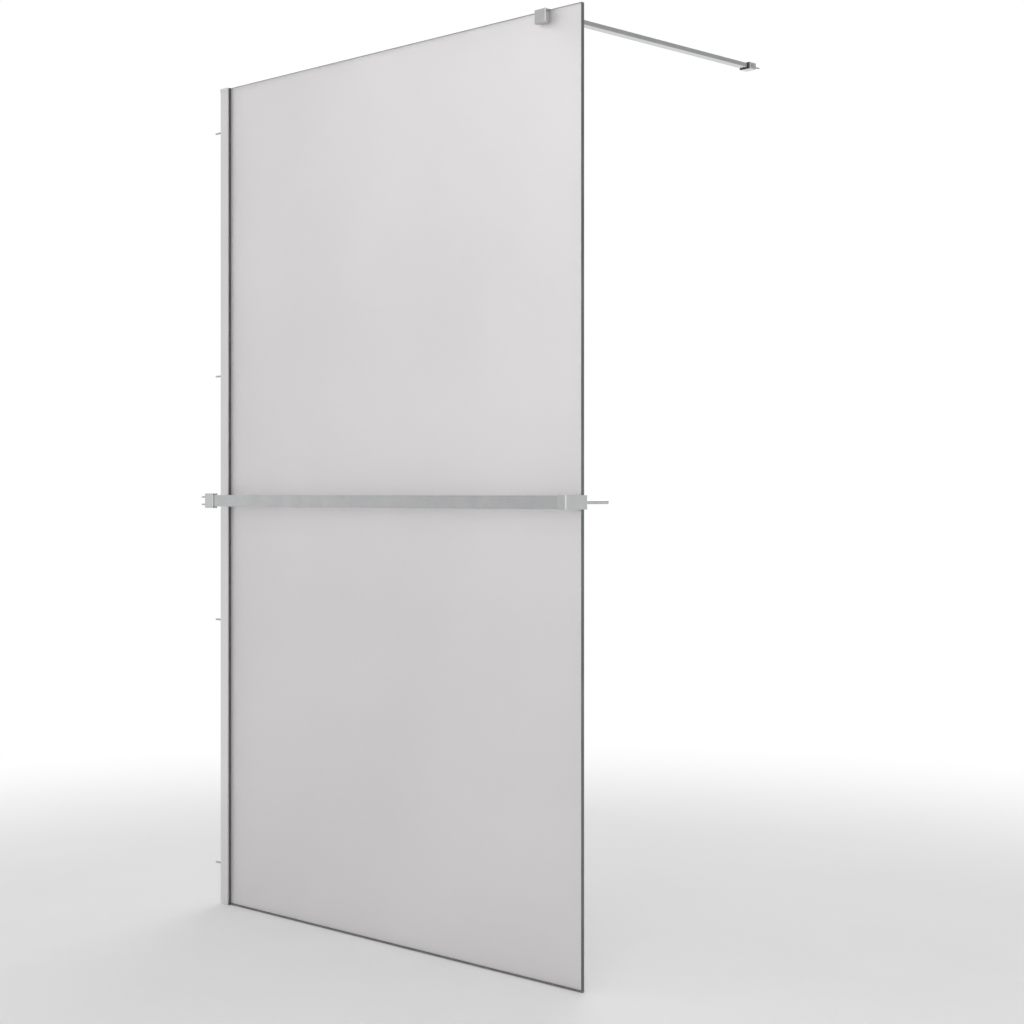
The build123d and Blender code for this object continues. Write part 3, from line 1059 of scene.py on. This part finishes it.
@dataclass
class WallScrews:
    """The wood screws that hold one plate or channel, each a piece of its own."""

    node: str
    body: Body
    mounts: tuple[str, ...]
    direction: Vector
    screw: ThreadedScrew
    drive: CrossDrive
    steel: Finish = SCREW_STEEL
    turn_step: float = 0.7

    def build(self) -> None:
        """Makes two screws for each pattern, each turned a little further."""
        stand = self.direction.to_track_quat("Z", "Y").to_matrix().to_4x4()
        single = self.node.removesuffix("s")
        seats = []
        for mount in self.mounts:
            seats += screw_seats(mount, self.direction, self.screw.neck)
        for number, seat in enumerate(seats, 1):
            turn = Matrix.Rotation(self.turn_step * number, 4, "Z")
            mesh = cut(self.screw.make(), self.drive.cutters())
            mesh.transform(Matrix.Translation(seat) @ stand @ turn)
            piece = Piece(f"{single}_{number}", self.body, Slot.SCREW, [self.steel], self.node)
            piece.finish_mesh(mesh)


@dataclass
class PlateScrews:
    """Pair of countersunk screws behind a wall plate."""

    node: str
    mount: str
    body: Body
    direction: Vector
    plate: float = 4.0 * MM
    radius: float = 1.75 * MM
    head_radius: float = 3.4 * MM
    head_edge: float = 0.15 * MM
    head_end: float = 1.9 * MM
    length: float = 30.0 * MM
    pitch: float = 1.5 * MM

    def build(self) -> None:
        """Makes the pair."""
        top = (self.head_radius - self.head_edge, 0.0)
        screw = ThreadedScrew(
            head=[top, (self.head_radius, self.head_edge)],
            head_end=self.head_end,
            neck=self.plate,
            crest_radius=self.radius,
            length=self.length,
            pitch=self.pitch,
        )
        drive = CrossDrive(top=0.0, depth=1.3 * MM, reach=1.9 * MM, width=0.8 * MM)
        mounts = (self.mount,)
        WallScrews(self.node, self.body, mounts, self.direction, screw, drive).build()


@dataclass
class WallSide:
    """Channel screwed to the wall, and the cap over the profile."""

    screw_radius: float = 2.25 * MM
    head_radius: float = 4.2 * MM
    head_height: float = 2.6 * MM
    head_end: float = 0.05 * MM
    crown_share: float = 0.55
    rim_share: float = 0.45
    web: float = 1.6 * MM
    pitch: float = 1.9 * MM
    aluminium: Finish = ANODISED_ALUMINIUM

    def domed_head(self) -> Outline:
        """Outlines the low domed head of a screw.

        Returns:
            Points of radius and level, from its crown to its underside.
        """
        soft = self.rim_share * self.head_height
        crown = (self.crown_share * self.head_radius, -self.head_height)
        rim = arc((self.head_radius - soft, soft - self.head_height), soft, -90, 0, 5)
        return [crown, *rim, (self.head_radius, 0.0)]

    def build(self) -> None:
        """Dresses the channel and cap, and makes the screws."""
        dress(self.aluminium, "wall_channel", "profile_top_cap")
        node = "wall_channel_screws"
        low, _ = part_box(node)
        screw = ThreadedScrew(
            head=self.domed_head(),
            head_end=self.head_end,
            neck=self.web,
            crest_radius=self.screw_radius,
            length=self.web - low.x,
            pitch=self.pitch,
        )
        drive = CrossDrive(top=-self.head_height, depth=1.4 * MM, reach=2.4 * MM, width=0.9 * MM)
        mounts = ("wall_channel_lower_screws", "wall_channel_upper_screws")
        WallScrews(node, Body.WALL_SIDE, mounts, Vector((-1, 0, 0)), screw, drive).build()


@dataclass
class Pane:
    """Satin glass pane with a ground and polished rim."""

    arris: float = 0.5 * MM
    arris_faces: int = 3
    clear_margin: float = 1.2 * MM
    etched: Finish = ETCHED_GLASS
    polished: Finish = POLISHED_EDGE

    def build(self) -> None:
        """Makes the pane, etched on its two faces and polished all round."""
        low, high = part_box("glass_panel")
        shape = rounded_block(low, high, self.arris, self.arris_faces)
        shape.normal_update()
        faces = [f for f in shape.faces if abs(f.normal.y) > FACES_ALONG_AXIS]
        etched_place, polished_place = 0, 1
        for face in shape.faces:
            face.material_index = polished_place
        bmesh.ops.inset_region(shape, faces=faces, thickness=self.clear_margin)
        for face in faces:
            face.material_index = etched_place
        finishes = [self.etched, self.polished]
        Piece("glass_pane", Body.SCREEN, Slot.GLASS, finishes, "glass_panel").finish(shape)


@dataclass
class Pads:
    """Rubber pads with rounded edges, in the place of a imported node."""

    node: str
    body: Body
    soft: float
    pad_rubber: Finish = PAD_RUBBER
    edge_faces: int = 4

    def pad(self, name: str, low: Vector, high: Vector) -> None:
        """Makes one pad between two corners."""
        shape = rounded_block(low, high, self.soft, self.edge_faces)
        Piece(name, self.body, Slot.PAD, [self.pad_rubber], self.node).finish(shape)

    def build_one(self, name: str) -> None:
        """Makes one pad that fills the node's box."""
        self.pad(name, *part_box(self.node))

    def build_pair(self, thickness: float) -> None:
        """Makes a pad at each side of the node's box, on the two faces of the glass.

        Args:
            thickness: how thick each pad is.
        """
        low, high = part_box(self.node)
        single = self.node.removesuffix("s")
        self.pad(single + "_outer", low, Vector((high.x, low.y + thickness, high.z)))
        self.pad(single + "_inner", Vector((low.x, high.y - thickness, low.z)), high)


@dataclass
class GlassHolder:
    """Profile that holds the pane, with its gaskets, lock screws, setting block and bottom seal."""

    nose_radius: float = 1.6 * MM
    nose_length: float = 2.0 * MM
    nose_inset: float = 0.4 * MM
    nose_step: float = 0.1 * MM
    rib: float = 0.35 * MM
    rib_spaces: int = 4
    foot_radius: float = 1.2 * MM
    groove: float = 0.3 * MM
    groove_height: float = 1.2 * MM
    packer_soft: float = 0.5 * MM
    aluminium: Finish = ANODISED_ALUMINIUM
    gasket_rubber: Finish = GASKET_RUBBER
    vinyl: Finish = SEAL_VINYL
    steel: Finish = SCREW_STEEL
    plastic: Finish = GREY_PLASTIC

    def gasket(self, node: str, side: int) -> None:
        """Makes one gasket, with ribs on the glass and a rounded nose out of the mouth.

        Args:
            node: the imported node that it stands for.
            side: -1 on the outer face of the glass and 1 on the shower side.
        """
        low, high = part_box(node)
        near, far = sorted((abs(low.y), abs(high.y)))
        mouth = high.x - self.nose_length
        shoulder = far - self.nose_inset
        bend = self.nose_radius
        outline = [
            (low.x, near + self.rib),
            (low.x, far - self.rib),
            (low.x + self.rib, far),
            (mouth - self.nose_step, far),
            (mouth + self.nose_step, shoulder),
            *arc((high.x - bend, shoulder - bend), bend, 90, 0, 8),
            *arc((high.x - self.rib, near + self.rib), self.rib, 0, -90, 4),
        ]
        space = (mouth - low.x) / self.rib_spaces
        for number in range(self.rib_spaces - 1, 0, -1):
            outline += arc((low.x + space * number, near), self.rib, 0, 180, 6)
        points = [(x, side * y) for x, y in outline]
        shape = run_of(points, Axis.Z, low.z, high.z)
        finishes = [self.gasket_rubber]
        Piece(node + "_strip", Body.SCREEN, Slot.GASKET, finishes, node).finish(shape)

    def bottom_seal(self) -> None:
        """Makes the seal under the pane, with a groove along each side over its rounded foot."""
        low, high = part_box("bottom_seal")
        half, top = high.y, high.z
        foot = self.foot_radius
        level = foot + self.groove_height
        outline = [
            (-half, top),
            *arc((-half, level), self.groove, 90, -90, 5),
            *arc((foot - half, low.z + foot), foot, 180, 270, 6),
            *arc((half - foot, low.z + foot), foot, 270, 360, 6),
            *arc((half, level), self.groove, 270, 90, 5),
            (half, top),
        ]
        shape = run_of(outline, Axis.X, low.x, high.x)
        strip = Piece("bottom_seal_strip", Body.SCREEN, Slot.SEAL, [self.vinyl], "bottom_seal")
        strip.finish(shape)

    def build(self) -> None:
        """Dresses the profile and its screws, and makes the soft strips and the packer."""
        dress(self.aluminium, "glass_profile")
        dress(self.steel, "profile_lock_screws")
        dress(self.plastic, "lock_screw_caps")
        self.gasket("outer_gasket", -1)
        self.gasket("inner_gasket", 1)
        self.bottom_seal()
        Pads("glass_setting_block", Body.SCREEN, self.packer_soft).build_one("glass_packer")


@dataclass
class TowelRail:
    """Flat rail from its wall flange to the block on the free edge, with the hook peg."""

    pad_thickness: float = 1.5 * MM
    pad_soft: float = 0.3 * MM
    rail_chrome: Finish = RAIL_CHROME
    fitting_chrome: Finish = FITTING_CHROME
    steel: Finish = SCREW_STEEL
    zinc: Finish = ZINC_PLATE

    def build(self) -> None:
        """Dresses the rail and its fittings, and makes the pads and wall screws."""
        dress(self.rail_chrome, "towel_rail")
        dress(self.fitting_chrome, "rail_wall_flange", "edge_block", "peg_collar", "hook_peg")
        dress(self.zinc, "rail_wall_base", "edge_pressure_plate")
        dress(self.steel, "rail_flange_screws", "rail_tongue_screw", "edge_clamp_screws")
        PlateScrews(
            "rail_base_screws", "rail_base_screw_pair", Body.WALL_SIDE, Vector((-1, 0, 0))
        ).build()
        Pads("edge_pads", Body.SCREEN, self.pad_soft).build_pair(self.pad_thickness)


@dataclass
class MouthShadeTrim:
    """Dark collar on the wall socket's mouth, around the opening that the bar slides in; its
    near-black colour is painted shade of the gap round the bar.
    """

    bar_gap: float = 0.3 * MM
    inset: float = 0.5 * MM
    depth: float = 0.9 * MM
    corner: float = 1.6 * MM
    hole_corner: float = 0.4 * MM
    soft: float = 0.25 * MM
    corner_steps: int = 6
    # The collar's near-black finish is painted shade of the gap around the bar.
    plastic: Finish = PAINTED_SHADE_TRIM

    def ring(self, low: Vector, high: Vector, corner: float, level: float) -> list[Vector]:
        """Lists the points of a rounded rectangle across Y.

        Args:
            low: its lowest corner.
            high: its highest corner.
            corner: the radius of its corners.
            level: its place along Y.

        Returns:
            The points, the same number for every size.
        """
        spots = []
        middles = (
            (high.x - corner, high.z - corner, 0),
            (low.x + corner, high.z - corner, 90),
            (low.x + corner, low.z + corner, 180),
            (high.x - corner, low.z + corner, 270),
        )
        for x, z, start in middles:
            spots += arc((x, z), corner, start, start + 90, self.corner_steps)
        return [Vector((x, level, z)) for x, z in spots]

    def build(self) -> None:
        """Makes the collar from rings that run round its section, with softened front edges."""
        low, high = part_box("bar_wall_socket")
        bar_low, bar_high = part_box("stabiliser_bar")
        out = Vector((self.inset, 0, self.inset))
        gap = Vector((self.bar_gap, 0, self.bar_gap))
        soft = Vector((self.soft, 0, self.soft))
        rim_low, rim_high = low + out, high - out
        hole_low, hole_high = bar_low - gap, bar_high + gap
        face, front = low.y, low.y - self.depth
        shoulder = front + self.soft
        hole = self.hole_corner
        rings = [
            self.ring(rim_low, rim_high, self.corner, face),
            self.ring(rim_low, rim_high, self.corner, shoulder),
            self.ring(rim_low + soft, rim_high - soft, self.corner, front),
            self.ring(hole_low - soft, hole_high + soft, hole + self.soft, front),
            self.ring(hole_low, hole_high, hole, shoulder),
            self.ring(hole_low, hole_high, hole, face),
        ]
        shape = bmesh.new()
        loops = [[shape.verts.new(point) for point in ring] for ring in rings]
        join_rings(shape, loops + loops[:1])
        Piece("socket_mouth_shade_trim", Body.BAR_WALL_END, Slot.PLASTIC, [self.plastic]).finish(shape)


@dataclass
class SteadyingBar:
    """Flat bar from the clamp on the top edge to its wall socket."""

    pad_thickness: float = 1.2 * MM
    pad_soft: float = 0.3 * MM
    bar_chrome: Finish = BAR_CHROME
    fitting_chrome: Finish = FITTING_CHROME
    steel: Finish = SCREW_STEEL
    zinc: Finish = ZINC_PLATE

    def build(self) -> None:
        """Dresses the bar and its fittings, and makes the pads, wall screws and collar."""
        dress(self.bar_chrome, "stabiliser_bar")
        dress(self.fitting_chrome, "clamp_body", "bar_wall_socket")
        dress(self.zinc, "clamp_pressure_plate", "bar_wall_base")
        dress(self.steel, "clamp_screws", "bar_clamp_screw", "bar_socket_screws")
        PlateScrews(
            "bar_wall_screws", "bar_wall_screw_pair", Body.BAR_WALL_END, Vector((0, 1, 0))
        ).build()
        Pads("clamp_pads", Body.BAR, self.pad_soft).build_pair(self.pad_thickness)
        # The dark collar paints the shade in the gap at the socket's mouth.
        MouthShadeTrim().build()


def stage_plane(name: str, corners: Iterable[Spot], coating: Coating) -> bpy.types.Object:
    """Makes a flat part of the stage.

    Args:
        name: its name.
        corners: its corners, in order.
        coating: what covers it.

    Returns:
        The new object.
    """
    shape = bmesh.new()
    shape.faces.new([shape.verts.new(corner) for corner in corners])
    mesh = held_mesh(shape, name)
    mesh.materials.append(coating.material())
    plane = placed(name, mesh)
    log.info("%s: %s", name, coating.name)
    return plane


@dataclass(frozen=True)
class SoftLamp:
    """One large square lamp, aimed at the object."""

    name: str
    place: Spot
    side: float
    watts: float
    in_metal: bool = True

    def build(self, target: Vector) -> None:
        """Makes the lamp, which need not show in metal.

        Args:
            target: the point that it faces.
        """
        light = bpy.data.lights.new(self.name, "AREA")
        light.shape = "SQUARE"
        light.size = self.side
        light.energy = self.watts
        lamp = placed(self.name, light)
        lamp.location = self.place
        lamp.visible_glossy = self.in_metal
        lamp.rotation_euler = (target - Vector(self.place)).to_track_quat("-Z", "Y").to_euler()
        log.info("%s: %.0f W", self.name, self.watts)


@dataclass(frozen=True)
class ReflectorCard:
    """Large upright grey card beside the set, which shows only in metal and polished glass."""

    name: str
    place: Spot
    width: float
    height: float
    grey: CardGrey

    def build(self, target: Vector) -> None:
        """Stands the card upright, facing the object.

        Args:
            target: the point that it faces.
        """
        place = Vector(self.place)
        facing = (target - place) * Vector((1, 1, 0))
        side = facing.cross(Vector((0, 0, 1))).normalized() * self.width / 2
        rise = Vector((0, 0, self.height / 2))
        corners = (-side - rise, side - rise, side + rise, rise - side)
        card = stage_plane(self.name, [place + corner for corner in corners], self.grey)
        card.visible_camera = False
        card.visible_diffuse = False
        card.visible_shadow = False
        card.visible_transmission = False


@dataclass
class Studio:
    """Pale floor, soft lamps, even background and the camera."""

    floor_half: float = 30.0
    floor_centre: tuple[float, float] = (0.6, 0.3)
    aim: Spot = (0.6, 0.2, 1.1)
    lamps: tuple[SoftLamp, ...] = (
        SoftLamp("key_lamp", (3.6, -3.6, 1.3), side=2.4, watts=76.0, in_metal=False),
        SoftLamp("fill_lamp", (-2.6, -4.2, 2.4), side=3.6, watts=24.0),
        SoftLamp("back_lamp", (-1.4, 3.4, 3.3), side=2.6, watts=39.0),
    )
    cards: tuple[ReflectorCard, ...] = (
        ReflectorCard(
            "outer_card",
            (-1.9, -2.8, 1.4),
            width=4.8,
            height=4.2,
            grey=CardGrey("outer_card_grey", 0.95, 0.7, along="X", turn_from=-3.4, turn_to=-1.4),
        ),
        ReflectorCard(
            "inner_card",
            (3.6, 2.7, 1.6),
            width=3.4,
            height=4.2,
            grey=CardGrey("inner_card_grey", 0.8, 0.54, along="Z", turn_from=1.3, turn_to=2.8),
        ),
        ReflectorCard(
            "bevel_card",
            (4.5, -3.7, 1.8),
            width=3.2,
            height=3.4,
            grey=CardGrey("bevel_card_grey", 1.4, 1.4),
        ),
    )
    light_level: float = 0.66
    eye: Spot = (3.767, -2.818, 1.010)
    heading: Spot = (-0.7014, 0.7128, 0.0)
    lens: float = 66.4
    sensor: float = 36.0
    horizon_share: float = -0.0191

    def floor(self) -> None:
        """Lays the floor under the object."""
        x, y = self.floor_centre
        half = self.floor_half
        corners = ((-half, -half), (half, -half), (half, half), (-half, half))
        stage_plane("floor", [(x + u, y + v, 0.0) for u, v in corners], StudioFloor())

    def background(self) -> None:
        """Lights the object evenly from all round, before a white background."""
        world = bpy.data.worlds.new("studio")
        world.use_nodes = True
        board = Board(world.node_tree)
        level = board.glow("ShaderNodeBackground", self.light_level)
        white = board.glow("ShaderNodeBackground", 1.0)
        board.end(board.choose(board.shown_rays(), level, white), "ShaderNodeOutputWorld")
        bpy.context.scene.world = world

    def camera(self) -> None:
        """Sets up the level camera at half the screen's height, off its free edge."""
        data = bpy.data.cameras.new("camera")
        data.sensor_width = self.sensor
        data.lens = self.lens
        data.shift_y = self.horizon_share
        camera = placed("camera", data)
        camera.location = self.eye
        camera.rotation_euler = Vector(self.heading).to_track_quat("-Z", "Y").to_euler()
        bpy.context.scene.camera = camera

    def build(self) -> None:
        """Builds the floor, lamps, cards, background and camera."""
        bpy.context.scene.view_settings.view_transform = "Standard"
        self.floor()
        for item in (*self.lamps, *self.cards):
            item.build(Vector(self.aim))
        self.background()
        self.camera()


def main() -> None:
    """Builds the studio and every sub-assembly."""
    logging.basicConfig(level=logging.INFO, format="%(message)s")
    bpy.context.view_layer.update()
    Studio().build()
    for assembly in (WallSide(), GlassHolder(), Pane(), TowelRail(), SteadyingBar()):
        assembly.build()
        log.info("%s done", type(assembly).__name__)


if __name__ == "__main__":
    main()
